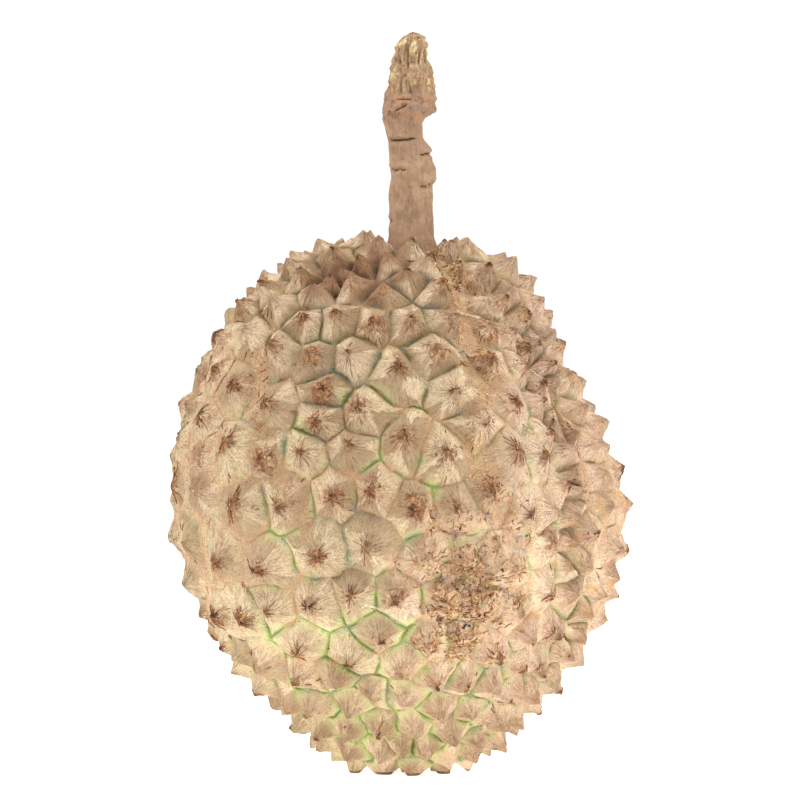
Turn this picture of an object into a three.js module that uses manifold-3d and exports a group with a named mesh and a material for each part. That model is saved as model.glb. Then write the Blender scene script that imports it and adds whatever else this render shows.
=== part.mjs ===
// A whole durian standing on its blossom end: a woody husk covered in pyramid spines, and the stalk
// that it was cut with. Millimetres, +Z up, the fruit's best face towards -Y.
//
// The husk is one closed skin. Each spine has a foot, which is one cell of a Voronoi pattern on the
// skin, and a tip that stands above it. Neighbouring feet share their edges, the furrows.
import * as THREE from "three";
import { ConvexHull } from "three/addons/math/ConvexHull.js";
import { mergeVertices } from "three/addons/utils/BufferGeometryUtils.js";
import Module from "manifold-3d";

const wasm = await Module();
wasm.setup();

// ---- Driving dimensions, in millimetres and degrees ----

// Directions on the fruit: "around" turns from the front (-Y) towards the right (+X), and "down" goes
// from the stalk end, 0, to the blossom end, 180.

// From the fruit's centre to its skin, in the furrows, at equal steps down from the stalk end.
const skinRadii = [92, 87, 77, 77.5, 79.5, 84, 96.3];
const centreHeight = 97; // the fruit's centre above what it stands on
const depthShare = 0.96; // the fruit is a little shallower than it is wide
const leanShare = 0.055; // it leans to the left by this share of the height
const restingSkinHeight = 4.2; // underneath, the skin is flat, at this height above the ground

// Furrows between the five lobes of the fruit, which follow the walls between its seed chambers.
const lobeFurrows = [
  { around: 59, depth: 9, width: 11 },
  { around: -18, depth: 2.5, width: 12 },
  { around: -100, depth: 4, width: 13 },
  { around: 128, depth: 5, width: 13 },
  { around: -165, depth: 5, width: 13 },
];

// Local hollows (rise below zero) and swellings of the skin, each fading out over its spread.
const swellings = [
  { around: 90, down: 7, spread: 9, rise: -4 }, // the seat of the stalk
  { around: -25, down: 19, spread: 8.5, rise: -9 }, // the pit beside the stalk
  { around: 80, down: 25, spread: 15, rise: 8 }, // right shoulder
  { around: -70, down: 9, spread: 9, rise: 3 }, // left of the stalk
  { around: -80, down: 64, spread: 26, rise: 3 }, // left cheek
  { around: 90, down: 92, spread: 18, rise: 2.5 }, // right cheek
  { around: 85, down: 165, spread: 18, rise: 2 }, // lower right
  { around: -90, down: 170, spread: 11, rise: 3.8 }, // left of the blossom end
];

// The tips of the front's main spines, as [across, up] from the middle of the base.
const frontTips = [
  [-29, 186], [-21, 183], [-17, 192], [-12, 186], [-2, 188], [6, 182], [8, 195], [24, 186], [33, 187],
  [36, 182], [46, 181], [-62, 163], [-57, 171], [-54, 161], [-43, 173], [-31, 177], [-21, 168],
  [-14, 178], [-7, 168], [-4, 178], [5, 167], [15, 178], [20, 168], [34, 165], [36, 174], [46, 164],
  [51, 173], [52, 166], [57, 163], [-74, 144], [-71, 153], [-61, 143], [-43, 157], [-30, 153],
  [-16, 154], [0, 148], [13, 157], [24, 141], [38, 152], [50, 156], [56, 142], [60, 147], [61, 151],
  [66, 143], [-79, 133], [-75, 138], [-73, 127], [-46, 134], [-28, 131], [-11, 134], [5, 121],
  [31, 128], [46, 139], [63, 126], [69, 135], [69, 129], [-83, 106], [-81, 120], [-74, 105],
  [-73, 116], [-61, 117], [-49, 119], [-40, 101], [-23, 104], [-7, 105], [16, 117], [37, 104],
  [42, 117], [56, 116], [66, 103], [70, 117], [74, 109], [77, 119], [81, 107], [-82, 84], [-77, 84],
  [-57, 98], [-28, 82], [-8, 85], [6, 97], [25, 96], [49, 95], [58, 93], [59, 84], [76, 96], [83, 97],
  [83, 81], [-75, 66], [-66, 79], [-48, 74], [-15, 62], [2, 62], [14, 80], [19, 63], [27, 79],
  [32, 61], [40, 75], [58, 64], [65, 74], [67, 61], [67, 80], [76, 76], [78, 61], [82, 69], [-71, 56],
  [-65, 54], [-64, 45], [-57, 57], [-35, 47], [-29, 60], [-16, 41], [-6, 51], [15, 47], [26, 47],
  [37, 43], [44, 55], [50, 49], [60, 50], [71, 47], [74, 54], [-58, 40], [-57, 33], [-49, 28],
  [-47, 37], [-40, 22], [-34, 31], [-28, 21], [-22, 33], [-15, 23], [-7, 26], [4, 38], [5, 25],
  [16, 33], [16, 21], [26, 31], [36, 30], [47, 37], [53, 23], [55, 34], [60, 30], [66, 39], [-33, 14],
  [-18, 12], [-5, 14], [7, 14], [28, 19],
];

// The spines that the fruit stands on, as [across, deep] from the middle of the base. They
// are cut flat, and the first is nearest the middle.
const standingTips = [
  [5, 0], [-14, -4], [-11, 8], [-4, -11], [-3, 15], [-5, 1], [7, 10], [7, -14], [16, -6], [15, 5],
];

const standingHeight = 6.4; // they are at least this high before they are cut

// The distance between neighbouring spines: widest round the fruit's middle, least at its ends.
const middleSpacing = 14;
const stalkEndSpacing = 10;
const blossomEndSpacing = 9.5;
const furrowSpacingShare = 0.8; // in the lobe furrows the spines stand closer
const closestShare = 0.86; // scattered spines stand no nearer together than this share of it,
const fixedShare = 1.08; // and no nearer than this share of it to the front's main spines
const darts = 24000; // tries at placing a spine
const relaxRounds = 5;
const layoutSeed = 20;

// A spine's height grows with the width of its foot, and varies from spine to spine.
const heightAtNoWidth = 5.4;
const heightPerWidth = 0.12;
const beltWear = 0.22; // round the middle the tips are worn down by this share
const heightVariation = 0.18;
const tipWander = 0.09; // how far a tip stands off its foot's middle, as a share of the foot's width

// Between foot and tip each flank has a shoulder, so that spines are a little fuller than pyramids.
const shoulderPlace = 0.45; // how far up the flank it is
const shoulderFullness = { belt: 0.06, ends: 0 }; // how far it stands out, as a share of the height
const shoulderRoundness = 0.25; // 0 keeps the foot's corners, 1 makes the shoulder a circle
const shortestEdge = 1.8; // furrow corners nearer than this are joined

// The stalk stands on a flat seat, in a cell with no spine.
const seat = { around: 90, down: 7 };
const seatSpacing = 26; // the width that the spines round the seat leave free
const seatClearRadius = 11.6;
const fitGap = 0.3; // between the stalk's foot and its seat
const stalkSides = 18;

// The stalk's outline, from its foot up: [height, radius, sideways shift of the ring's centre].
const stalkRings = [
  [0, 10.2, 0], [2.5, 9.2, 0], [6, 8.2, 0], [10, 7.8, 0], [24, 7.6, 0], [30.5, 7.7, 0.3],
  [33, 7.3, -0.5], [38, 7.4, -1], [40.5, 6.3, -2.2], [46.5, 6.8, -3], [48.6, 7.3, -2.8],
  [50.8, 9.3, -0.9], [55.5, 9.1, -0.2], [60, 8.1, -0.2], [64, 7.2, 0], [70.6, 6.1, 0],
  [75, 5.3, 0.2], [78, 3.6, 0.5],
];
const stalkTip = [79.6, 0.6]; // height, sideways shift

// ---- Small helpers ----

const radians = THREE.MathUtils.degToRad;
const up = new THREE.Vector3(0, 0, 1);

/** Random numbers from 0 to 1 that come out the same on every run. */
function seededRandom(seed) {
  let state = seed;
  return () => {
    state = (state * 1664525 + 1013904223) % 4294967296;
    return state / 4294967296;
  };
}

function direction(around, down) {
  const ring = Math.sin(radians(down));
  return new THREE.Vector3(
    ring * Math.sin(radians(around)),
    -ring * Math.cos(radians(around)),
    Math.cos(radians(down)),
  );
}

const bell = (distance, spread) => Math.exp(-((distance / spread) ** 2));

// ---- The skin ----

const skinCurve = new THREE.SplineCurve(
  skinRadii.map((radius, step) => new THREE.Vector2(step, radius)),
);
const swellingPlaces = swellings.map((s) => ({ ...s, dir: direction(s.around, s.down) }));

/** How deep the lobe furrows are in this direction. They fade out towards both ends. */
function lobeFurrowDepth(dir) {
  const around = THREE.MathUtils.radToDeg(Math.atan2(dir.x, -dir.y));
  const fade = Math.hypot(dir.x, dir.y);
  let depth = 0;
  for (const furrow of lobeFurrows) {
    const apart = Math.abs(((around - furrow.around + 540) % 360) - 180);
    depth += furrow.depth * fade * bell(apart, furrow.width);
  }
  return depth;
}

/** The point of the skin in this direction, from the fruit's centre, raised by an extra height. */
function skinPoint(dir, raised = 0) {
  const down = THREE.MathUtils.radToDeg(dir.angleTo(up));
  let radius = skinCurve.getPoint(down / 180).y - lobeFurrowDepth(dir) + raised;
  for (const s of swellingPlaces) {
    radius += s.rise * bell(THREE.MathUtils.radToDeg(dir.angleTo(s.dir)), s.spread);
  }
  const point = dir.clone().multiplyScalar(radius);
  point.y *= depthShare;
  point.x -= leanShare * point.z;
  point.z = Math.max(point.z, restingSkinHeight - centreHeight);
  return point;
}

// ---- Where the spines stand ----

/** The direction whose spine has its tip at this place on the front. */
function directionOfFrontTip([across, height]) {
  const z = height - centreHeight;
  const x = across + leanShare * z;
  const tipHeight = 7;
  const dir = new THREE.Vector3(x, -50, z).normalize();
  for (let round = 0; round < 12; round++) {
    const reach = skinPoint(dir, tipHeight);
    const length = Math.hypot(reach.x + leanShare * reach.z, reach.y / depthShare, reach.z);
    dir.set(x, -Math.sqrt(Math.max(length ** 2 - x ** 2 - z ** 2, 25)), z).normalize();
  }
  return dir;
}

function directionOfStandingTip([across, deep]) {
  const z = restingSkinHeight - centreHeight;
  return new THREE.Vector3(across + leanShare * z, deep / depthShare, z).normalize();
}

function spacingAt(dir) {
  const end = dir.z > 0 ? stalkEndSpacing : blossomEndSpacing;
  const spacing = THREE.MathUtils.lerp(middleSpacing, end, Math.abs(dir.z) ** 1.6);
  return spacing * THREE.MathUtils.lerp(1, furrowSpacingShare, Math.min(lobeFurrowDepth(dir) / 4, 1));
}

/** Throws spines at the skin one by one, and keeps each that isn't too near the ones before it. */
function scatterSpines(random) {
  const spines = [
    { dir: direction(seat.around, seat.down), fixed: true, seat: true },
    ...standingTips.map((place) => ({ dir: directionOfStandingTip(place), fixed: true, standing: true })),
    ...frontTips.map((place) => ({ dir: directionOfFrontTip(place), fixed: true })),
  ];
  for (const spine of spines) spine.foot = skinPoint(spine.dir);
  for (let n = 0; n < darts; n++) {
    const down = THREE.MathUtils.radToDeg(Math.acos(1 - 2 * random()));
    const dir = direction(360 * random(), down);
    const foot = skinPoint(dir);
    const spacing = spacingAt(dir);
    const clear = spines.every((other) => {
      if (other.seat) return foot.distanceTo(other.foot) > (seatSpacing + spacing) / 2;
      return foot.distanceTo(other.foot) > spacing * (other.fixed ? fixedShare : closestShare);
    });
    if (clear) spines.push({ dir, foot });
  }
  return spines;
}

/** The Voronoi cells on the sphere of directions: for each spine, its corners in order round it. */
function cellsOf(spines) {
  const order = new Map(spines.map((spine, index) => [spine.dir, index]));
  const hull = new ConvexHull().setFromPoints(spines.map((spine) => spine.dir));
  const corners = [];
  const cells = spines.map(() => []);
  for (const face of hull.faces) {
    const corner = corners.push(face.normal.clone().normalize()) - 1;
    let edge = face.edge;
    do {
      cells[order.get(edge.head().point)].push(corner);
      edge = edge.next;
    } while (edge !== face.edge);
  }
  cells.forEach((cell, index) => {
    const { dir } = spines[index];
    const east = new THREE.Vector3().crossVectors(up, dir);
    if (east.length() < 1e-6) east.set(1, 0, 0);
    east.normalize();
    const north = new THREE.Vector3().crossVectors(dir, east);
    const turn = (c) => Math.atan2(corners[c].dot(north), corners[c].dot(east));
    cell.sort((a, b) => turn(a) - turn(b));
  });
  return { corners, cells };
}

/** Evens the spacing: each loose spine moves towards the middle of its own cell. */
function relax(spines) {
  const { corners, cells } = cellsOf(spines);
  spines.forEach((spine, index) => {
    if (spine.fixed) return;
    const middle = new THREE.Vector3();
    for (const corner of cells[index]) middle.add(corners[corner]);
    spine.dir.lerp(middle.normalize(), 0.5).normalize();
  });
}

// ---- The husk ----

/** Joins the corners that lie too close together. Returns the points, and each cell's corners. */
function furrowCorners({ corners, cells }) {
  const points = corners.map((dir) => skinPoint(dir));
  const joined = corners.map((_, index) => index);
  for (const cell of cells) {
    cell.forEach((a, position) => {
      const b = cell[(position + 1) % cell.length];
      const [from, to] = [joined[a], joined[b]];
      if (from === to || points[from].distanceTo(points[to]) > shortestEdge) return;
      points[from].lerp(points[to], 0.5);
      joined.forEach((target, index) => {
        if (target === to) joined[index] = from;
      });
    });
  }
  const loops = cells.map((cell) =>
    cell.map((corner) => joined[corner]).filter((corner, i, all) => corner !== all.at(i - 1)),
  );
  return { points, loops };
}

/** A foot's middle, its outward normal and its width, from its corners. */
function footOf(loop, points) {
  const middle = new THREE.Vector3();
  for (const corner of loop) middle.addScaledVector(points[corner], 1 / loop.length);
  const normal = new THREE.Vector3();
  loop.forEach((corner, i) => {
    const a = points[corner].clone().sub(middle);
    const b = points[loop[(i + 1) % loop.length]].clone().sub(middle);
    normal.add(a.cross(b));
  });
  const area = normal.length() / 2;
  return { middle, normal: normal.normalize(), width: 2 * Math.sqrt(area / Math.PI) };
}

/** The tip of the spine on this foot, and the corners of the shoulder below the tip. */
function spineOn(loop, points, { dir, standing }, random) {
  const { middle, normal, width } = footOf(loop, points);
  const belt = 1 - dir.z ** 2;
  const grown = (heightAtNoWidth + heightPerWidth * width) * (1 - beltWear * belt);
  const varied = grown * (1 + heightVariation * (2 * random() - 1));
  const height = standing ? Math.max(varied, standingHeight) : varied;
  const sideways = new THREE.Vector3(random() - 0.5, random() - 0.5, random() - 0.5);
  const tip = middle.clone().addScaledVector(normal, height);
  tip.addScaledVector(sideways.projectOnPlane(normal), 2 * tipWander * width);

  const fullness = THREE.MathUtils.lerp(shoulderFullness.ends, shoulderFullness.belt, belt);
  const reach = loop.reduce((sum, c) => sum + points[c].distanceTo(middle), 0) / loop.length;
  const shoulder = loop.map((c) => {
    const rounded = points[c].clone().sub(middle);
    rounded.setLength(THREE.MathUtils.lerp(rounded.length(), reach, shoulderRoundness));
    const corner = rounded.add(middle).lerp(tip, shoulderPlace + 0.1 * (random() - 0.5));
    return corner.addScaledVector(normal, fullness * height);
  });
  return { tip, shoulder };
}

/** The husk's surface, about the fruit's centre, and the height of the stalk's seat in it. */
function huskGeometry(spines, random) {
  const { points, loops } = furrowCorners(cellsOf(spines));
  const seatLoop = loops[spines.findIndex((spine) => spine.seat)];
  const seatHeight = footOf(seatLoop, points).middle.z;
  for (const corner of seatLoop) points[corner].z = seatHeight;

  const positions = points.flatMap((p) => [p.x, p.y, p.z]);
  const addPoint = (p) => positions.push(p.x, p.y, p.z) / 3 - 1;
  const triangles = [];
  spines.forEach((spine, index) => {
    const loop = loops[index];
    if (spine.seat) {
      const middle = addPoint(footOf(loop, points).middle);
      loop.forEach((corner, i) => triangles.push(corner, loop[(i + 1) % loop.length], middle));
      return;
    }
    const { tip, shoulder } = spineOn(loop, points, spine, random);
    const tipIndex = addPoint(tip);
    const ring = shoulder.map(addPoint);
    loop.forEach((corner, i) => {
      const next = (i + 1) % loop.length;
      triangles.push(corner, loop[next], ring[next], corner, ring[next], ring[i]);
      triangles.push(ring[i], ring[next], tipIndex);
    });
  });
  const geometry = new THREE.BufferGeometry();
  geometry.setAttribute("position", new THREE.Float32BufferAttribute(positions, 3));
  geometry.setIndex(triangles);
  return { geometry, seatHeight };
}

// ---- Solids ----

function solidFrom(geometry) {
  const bare = new THREE.BufferGeometry();
  bare.setAttribute("position", geometry.getAttribute("position"));
  bare.setIndex(geometry.getIndex());
  const merged = mergeVertices(bare);
  return new wasm.Manifold(
    new wasm.Mesh({
      numProp: 3,
      vertProperties: merged.getAttribute("position").array,
      triVerts: new Uint32Array(merged.getIndex().array),
    }),
  );
}

function geometryFrom(solid) {
  const mesh = solid.getMesh();
  const geometry = new THREE.BufferGeometry();
  geometry.setAttribute("position", new THREE.BufferAttribute(mesh.vertProperties, 3));
  geometry.setIndex(new THREE.BufferAttribute(mesh.triVerts, 1));
  geometry.computeVertexNormals();
  return geometry;
}

/**
 * Cuts the husk twice: it blunts the spines that the fruit stands on, so that their flats lie in one
 * plane, and it keeps the spines round the seat off the stalk's foot.
 */
function cutHusk(geometry, seatMiddle) {
  const tableThickness = 40;
  const table = new THREE.BoxGeometry(300, 300, tableThickness);
  table.translate(0, 0, -centreHeight - tableThickness / 2);
  const room = 40;
  const clearance = new THREE.CylinderGeometry(seatClearRadius, seatClearRadius, room, stalkSides);
  clearance.rotateX(Math.PI / 2);
  clearance.translate(seatMiddle.x, seatMiddle.y, seatMiddle.z + room / 2);
  return geometryFrom(solidFrom(geometry).subtract(solidFrom(table)).subtract(solidFrom(clearance)));
}

/** The stalk: rings of one size after another, closed by a flat foot and a rounded tip. */
function stalkGeometry() {
  const positions = [];
  for (const [height, radius, shift] of stalkRings) {
    for (let side = 0; side < stalkSides; side++) {
      const turn = (2 * Math.PI * side) / stalkSides;
      positions.push(shift + radius * Math.cos(turn), radius * Math.sin(turn), height);
    }
  }
  const foot = positions.push(0, 0, stalkRings[0][0]) / 3 - 1;
  const tip = positions.push(stalkTip[1], 0, stalkTip[0]) / 3 - 1;
  const triangles = [];
  const lastRing = stalkSides * (stalkRings.length - 1);
  for (let side = 0; side < stalkSides; side++) {
    const next = (side + 1) % stalkSides;
    triangles.push(foot, next, side, tip, lastRing + side, lastRing + next);
    for (let ring = 0; ring < lastRing; ring += stalkSides) {
      const [a, b] = [ring + side, ring + next];
      triangles.push(a, b, b + stalkSides, a, b + stalkSides, a + stalkSides);
    }
  }
  const geometry = new THREE.BufferGeometry();
  geometry.setAttribute("position", new THREE.Float32BufferAttribute(positions, 3));
  geometry.setIndex(triangles);
  geometry.computeVertexNormals();
  return geometry;
}

// ---- The durian ----

const random = seededRandom(layoutSeed);
const spines = scatterSpines(random);
for (let round = 0; round < relaxRounds; round++) relax(spines);
const { geometry: spinySkin, seatHeight } = huskGeometry(spines, random);
const seatMiddle = skinPoint(direction(seat.around, seat.down)).setZ(seatHeight);

const huskMaterial = new THREE.MeshStandardMaterial({ color: 0xc9ac82, roughness: 0.85, metalness: 0 });
const stalkMaterial = new THREE.MeshStandardMaterial({ color: 0xa98765, roughness: 0.9, metalness: 0 });

const husk = new THREE.Mesh(cutHusk(spinySkin, seatMiddle), huskMaterial);
husk.name = "husk";

const stalk = new THREE.Mesh(stalkGeometry(), stalkMaterial);
stalk.name = "stalk";
stalk.position.copy(seatMiddle).setZ(seatHeight + fitGap);

const durian = new THREE.Group();
durian.name = "durian";
durian.add(husk, stalk);

// The origin is the middle of the durian's own footprint, on what it stands on.
const bounds = new THREE.Box3().setFromObject(durian);
const middle = bounds.getCenter(new THREE.Vector3());
durian.position.set(-middle.x, -middle.y, -bounds.min.z);

export default durian;
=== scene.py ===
# %% [markdown]
# # A whole durian
#
# A durian is a fruit with a hard, spiny husk and a woody stalk. Its solid model gives the lobes, the
# spines and the stalk at their true sizes. This lesson gives them their surfaces: worn tips, fibrous
# flanks, green furrows, bark and dry crust.

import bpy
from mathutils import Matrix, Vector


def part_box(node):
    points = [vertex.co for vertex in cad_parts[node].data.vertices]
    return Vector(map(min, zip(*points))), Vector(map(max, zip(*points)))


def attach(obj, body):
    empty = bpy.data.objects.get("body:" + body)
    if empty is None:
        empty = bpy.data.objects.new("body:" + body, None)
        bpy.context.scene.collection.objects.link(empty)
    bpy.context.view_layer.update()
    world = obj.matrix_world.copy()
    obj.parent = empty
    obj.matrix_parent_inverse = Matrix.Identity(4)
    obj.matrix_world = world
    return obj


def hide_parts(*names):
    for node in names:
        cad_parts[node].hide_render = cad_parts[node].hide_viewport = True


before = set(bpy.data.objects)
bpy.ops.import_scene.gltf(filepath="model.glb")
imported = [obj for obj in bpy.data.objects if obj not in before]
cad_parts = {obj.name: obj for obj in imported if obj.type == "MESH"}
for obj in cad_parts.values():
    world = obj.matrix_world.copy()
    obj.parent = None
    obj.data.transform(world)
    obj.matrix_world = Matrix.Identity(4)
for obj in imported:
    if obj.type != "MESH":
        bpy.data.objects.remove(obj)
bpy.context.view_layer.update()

# %% [markdown]
# Everything is in metres, but a fruit is easier to think about in millimetres, so a length is a number
# times MM.

# %% Units and small helpers
import math
import random

import bmesh
import bpy
import numpy as np
from mathutils import Matrix, Vector, noise
from numpy.linalg import norm

MM = 0.001


def work_on(piece):
    """An operator acts on what is selected and active, so that becomes this piece alone."""
    bpy.ops.object.select_all(action="DESELECT")
    piece.select_set(True)
    bpy.context.view_layer.objects.active = piece


def open_mesh(piece):
    """Edit mode, with the whole mesh selected."""
    work_on(piece)
    bpy.ops.object.mode_set(mode="EDIT")
    bpy.ops.mesh.select_all(action="SELECT")


def close_mesh():
    bpy.ops.object.mode_set(mode="OBJECT")


def subdivide(piece, cuts):
    """Cuts every edge of a piece in this many places."""
    open_mesh(piece)
    bpy.ops.mesh.subdivide(number_cuts=cuts)
    close_mesh()


def report(piece):
    print(piece.name, "has", len(piece.data.vertices), "vertices and", len(piece.data.polygons), "faces")


# %% [markdown]
# ## Camera
#
# A product view, level with the fruit's middle and from far away, so that little is foreshortened. The
# camera comes first, so that every later step can be looked at.

# %% Camera
view_height = 134 * MM
view_width = 288 * MM  # what the frame takes in at the fruit's middle
camera_distance = 1.9
camera_rise = 0.03  # the camera stands this much higher than what it looks at
sensor_width = 36  # mm

bpy.ops.object.camera_add(location=(0, -camera_distance, view_height + camera_rise))
camera = bpy.context.active_object
camera.name = "camera"
towards = Vector((0, 0, view_height)) - camera.location
camera.rotation_euler = towards.to_track_quat("-Z", "Y").to_euler()
camera.data.sensor_width = sensor_width
camera.data.lens = sensor_width * towards.length / view_width
bpy.context.scene.camera = camera
print("camera", tuple(round(v, 3) for v in camera.location), "lens", round(camera.data.lens), "mm")

# %% [markdown]
# ## Shader helper
#
# A material is a network of nodes. Here a network is written as Python: a Wire is one output of a node,
# sums and products of wires add Math nodes, and `node` adds any other node.

# %% Wire, for writing materials as expressions


class Wire:
    """One output socket in a material's node tree."""

    def __init__(self, tree, socket=None):
        self.tree, self.socket = tree, socket

    def node(self, kind, settings=None, values=None, output=0):
        """Adds a node. Its settings come first, then the values of its sockets or what they link to."""
        made = self.tree.nodes.new(kind)
        for name, value in (settings or {}).items():
            setattr(made, name, value)
        for name, value in (values or {}).items():
            if isinstance(value, Wire):
                self.tree.links.new(value.socket, made.inputs[name])
            else:
                made.inputs[name].default_value = value
        return Wire(self.tree, made.outputs[output] if made.outputs else None)

    def math(self, operation, *others):
        """A Math node on this wire, and on another value where the operation takes two."""
        return self.node("ShaderNodeMath", {"operation": operation}, dict(enumerate((self, *others))))

    def __add__(self, other):
        return self.math("ADD", other)

    def __sub__(self, other):
        return self.math("SUBTRACT", other)

    def __rsub__(self, other):
        return self.node("ShaderNodeMath", {"operation": "SUBTRACT"}, {0: other, 1: self})

    def __mul__(self, other):
        return self.math("MULTIPLY", other)

    def __truediv__(self, other):
        return self.math("DIVIDE", other)

    def above(self, low, high):
        """0 below low, 1 above high, and a smooth step between."""
        values = {"Value": self, "From Min": low, "From Max": high}
        return self.node("ShaderNodeMapRange", {"interpolation_type": "SMOOTHSTEP"}, values)

    def below(self, low, high):
        return 1 - self.above(low, high)

    def coat(self, paint, share):
        """Lays a coat of paint over this colour: none at share 0, and all of it at share 1."""
        self.socket = painted(self, paint, share).socket

    def coats(self, *rows):
        """Lays coats in this order. Each row is a paint's red, green and blue, and then the share."""
        for *paint, share in rows:
            self.coat(paint, share)
        print(len(rows), "coats")


def painted(low, high, share):
    """A colour between two paints. A paint is a wire, or a painter's 0 to 255 numbers."""
    low, high = (paint if isinstance(paint, Wire) else linear_color(paint) for paint in (low, high))
    return share.node("ShaderNodeMix", {"data_type": "RGBA"}, {0: share, 6: low, 7: high}, 2)


def linear_color(paint):
    """Makes a painter's 0 to 255 numbers into the linear numbers that a shader reads."""
    shares = [value / 255 for value in paint]
    return (*(v / 12.92 if v <= 0.04045 else ((v + 0.055) / 1.055) ** 2.4 for v in shares), 1)


print("white:", linear_color((255, 255, 255)))

# %% [markdown]
# ## Floor, background and light
#
# The fruit stands on a white floor in front of a white background. A floor that is only lit would look
# grey at its far end. So a camera ray sees part of its white as a glow, and the rest as paint that
# still takes the fruit's shadow.

# %% Floor
floor_size = 12
floor_cuts = 7
floor_glow = 0.7  # what the camera sees of the floor's white without any lamp

bpy.ops.mesh.primitive_plane_add(size=floor_size, location=(0, 0, 0))
floor = bpy.context.active_object
floor.name = "floor"
subdivide(floor, floor_cuts)


def new_material(piece, name):
    """Gives a piece an empty material, and returns a Wire to start adding nodes from."""
    material = bpy.data.materials.new(name)
    material.use_nodes = True
    material.node_tree.nodes.clear()
    piece.data.materials.append(material)
    return Wire(material.node_tree)


tree = new_material(floor, "floor_white")
paint = tree.node("ShaderNodeBsdfDiffuse", values={"Color": (0.9, 0.9, 0.9, 1)})
camera_ray = tree.node("ShaderNodeLightPath", output="Is Camera Ray")
glow = tree.node("ShaderNodeEmission", values={"Color": (1, 1, 1, 1), "Strength": camera_ray * floor_glow})
paint_and_glow = tree.node("ShaderNodeAddShader", values={0: paint, 1: glow})
tree.node("ShaderNodeOutputMaterial", values={"Surface": paint_and_glow})
print("floor", floor_size, "m across")

# %% [markdown]
# The background is the world: pure white to the camera. To the fruit it is a softer light, stronger from
# overhead than from the sides.

# %% World
side_light = 0.72
overhead_light = 1.15
white_to_camera = 1.05  # a little over 1, so that no grey noise is left in it

world = bpy.data.worlds.new("white_room")
bpy.context.scene.world = world
world.use_nodes = True
world.node_tree.nodes.clear()
tree = Wire(world.node_tree)
camera_ray = tree.node("ShaderNodeLightPath", output="Is Camera Ray")
sky = tree.node("ShaderNodeTexCoord", output="Generated")
height_in_sky = sky.node("ShaderNodeSeparateXYZ", values={0: sky}, output="Z").above(0.1, 0.9)
room_light = side_light - height_in_sky * (side_light - overhead_light)
strength = room_light + camera_ray * (white_to_camera - room_light)
backdrop = tree.node("ShaderNodeBackground", values={"Color": (1, 1, 1, 1), "Strength": strength})
tree.node("ShaderNodeOutputWorld", values={"Surface": backdrop})
bpy.context.scene.view_settings.view_transform = "Standard"
print("world light:", side_light, "to", overhead_light)

# %% [markdown]
# Two broad lamps stand left and right of the fruit and graze its flanks, the left one clearly stronger,
# so that each spine shows a light side and a brown side. A lamp above lights the tops of the spines,
# and a lamp behind the fruit rounds its edges. Three panels on the floor, left, right and under the
# fruit, return light to its underside, as a white table would.

# %% Lamps
lamps = [
    # name, place, width, watts, what it points at
    ("key_lamp", (-1.00, -0.08, 0.38), 0.5, 4.0, (0, 0, 0.09)),
    ("fill_lamp", (0.95, -0.38, 0.36), 0.6, 2.5, (0, 0, 0.09)),
    ("top_lamp", (0.05, -0.20, 1.0), 0.6, 5.0, (0, 0, 0.12)),
    ("back_lamp", (0.1, 1.2, 0.1), 0.9, 2.6, (0, 0, 0.10)),
    ("left_panel", (-0.30, -0.12, 0.004), 0.36, 0.04, (-0.30, -0.12, 1)),
    ("right_panel", (0.30, -0.12, 0.004), 0.36, 0.5, (0.30, -0.12, 1)),
    ("under_panel", (0.025, -0.09, 0.001), 0.34, 0.33, (0.025, -0.09, 1)),
]

for lamp_name, place, width, watts, target in lamps:
    bpy.ops.object.light_add(type="AREA", location=place)
    lamp = bpy.context.active_object
    lamp.name = lamp_name
    lamp.data.shape = "DISK"
    lamp.data.size = width
    lamp.data.energy = watts
    lamp.visible_camera = False
    lamp.rotation_euler = (Vector(target) - lamp.location).to_track_quat("-Z", "Y").to_euler()
print("lamps:", [lamp[0] for lamp in lamps])

# %% [markdown]
# ## Husk: the spines
#
# Each spine on the husk is a pyramid whose flanks are bundles of woody fibre, which run down from the tip
# to the furrow. To carve and colour them, every point of the mesh has to know which spine it is on. A
# node of the solid model is never changed, so the work starts on a copy, and its loose triangles are
# merged first.

# %% Copy a node of the solid model
merge_distance = 0.002 * MM


def copy_of(node, name):
    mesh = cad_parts[node].data.copy()
    piece = bpy.data.objects.new(name, mesh)
    bpy.context.scene.collection.objects.link(piece)
    mesh.materials.clear()
    work_on(piece)
    bpy.ops.mesh.customdata_custom_splitnormals_clear()
    open_mesh(piece)
    bpy.ops.mesh.remove_doubles(threshold=merge_distance)
    close_mesh()
    return piece


def rows_of(items, field, kind=float):
    """A field of each vertex or triangle of a mesh, as an array with three numbers in a row."""
    values = np.empty(len(items) * 3, kind)
    items.foreach_get(field, values)
    return values.reshape(-1, 3)


def points_of(piece):
    """Its vertices, in millimetres."""
    return rows_of(piece.data.vertices, "co") / MM


def normals_of(piece):
    return rows_of(piece.data.vertices, "normal")


def triangles_of(piece):
    return rows_of(piece.data.polygons, "vertices", int)


def move_points(piece, points):
    piece.data.vertices.foreach_set("co", (points * MM).ravel())
    piece.data.update()


husk = copy_of("husk", "husk_skin")
report(husk)

# %% [markdown]
# A tip is the sharpest point of its neighbourhood: seen along its normal, all of its neighbours lie far
# below it. The spines underneath are worn flat where the fruit stands, so there a patch at floor level
# takes the place of the tip.

# %% Find the tips
tip_sharpness = 0.2
floor_level = 0.05  # mm
worn_height = 3  # below this, only a worn patch counts as a tip
seat_radius = 13  # no spine stands within this distance of the stalk's axis

cad_points = points_of(husk)
cad_triangles = triangles_of(husk)
cad_normals = normals_of(husk)

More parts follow.
